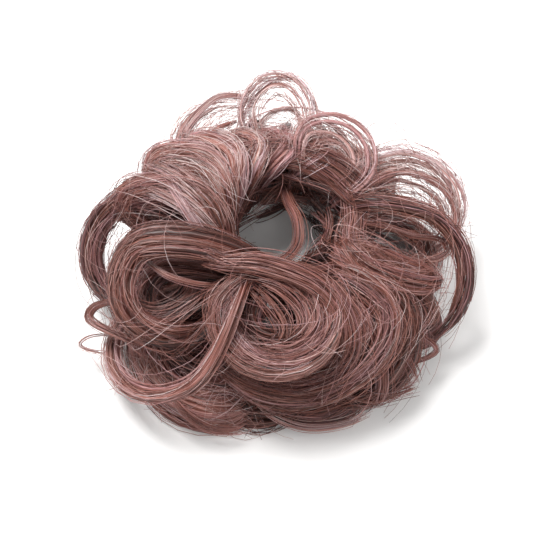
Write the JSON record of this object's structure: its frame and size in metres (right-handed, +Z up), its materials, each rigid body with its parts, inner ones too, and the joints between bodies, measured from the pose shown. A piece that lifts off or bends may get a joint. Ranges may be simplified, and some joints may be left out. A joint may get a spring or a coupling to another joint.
{
  "type": "top knot hairpiece",
  "caption": "Messy-bun hairpiece: curled locks of mauve-brown synthetic hair in tufts round an elastic band.",
  "frame": {"origin": "on the surface it rests on, under the middle of the whole piece", "axes": "+Z up along the elastic band's axis, +X to the right and +Y away as the picture shows it"},
  "size_m": [0.1846, 0.1676, 0.0609],
  "materials": {
    "hair": "satin curled synthetic fibre, mauve brown with lighter dusty rose strands",
    "elastic": "braided elastic cord, matt"
  },
  "bodies": {
    "root": {"elastic_band": "elastic", "tuft_front": "hair", "tuft_back": "hair", "tuft_front_right": "hair", "tuft_left": "hair", "tuft_upper_left": "hair", "tuft_back_right": "hair", "tuft_lower_left": "hair", "tuft_right": "hair", "tuft_back_left": "hair", "tuft_upper_right": "hair"}
  },
  "joints": []
}
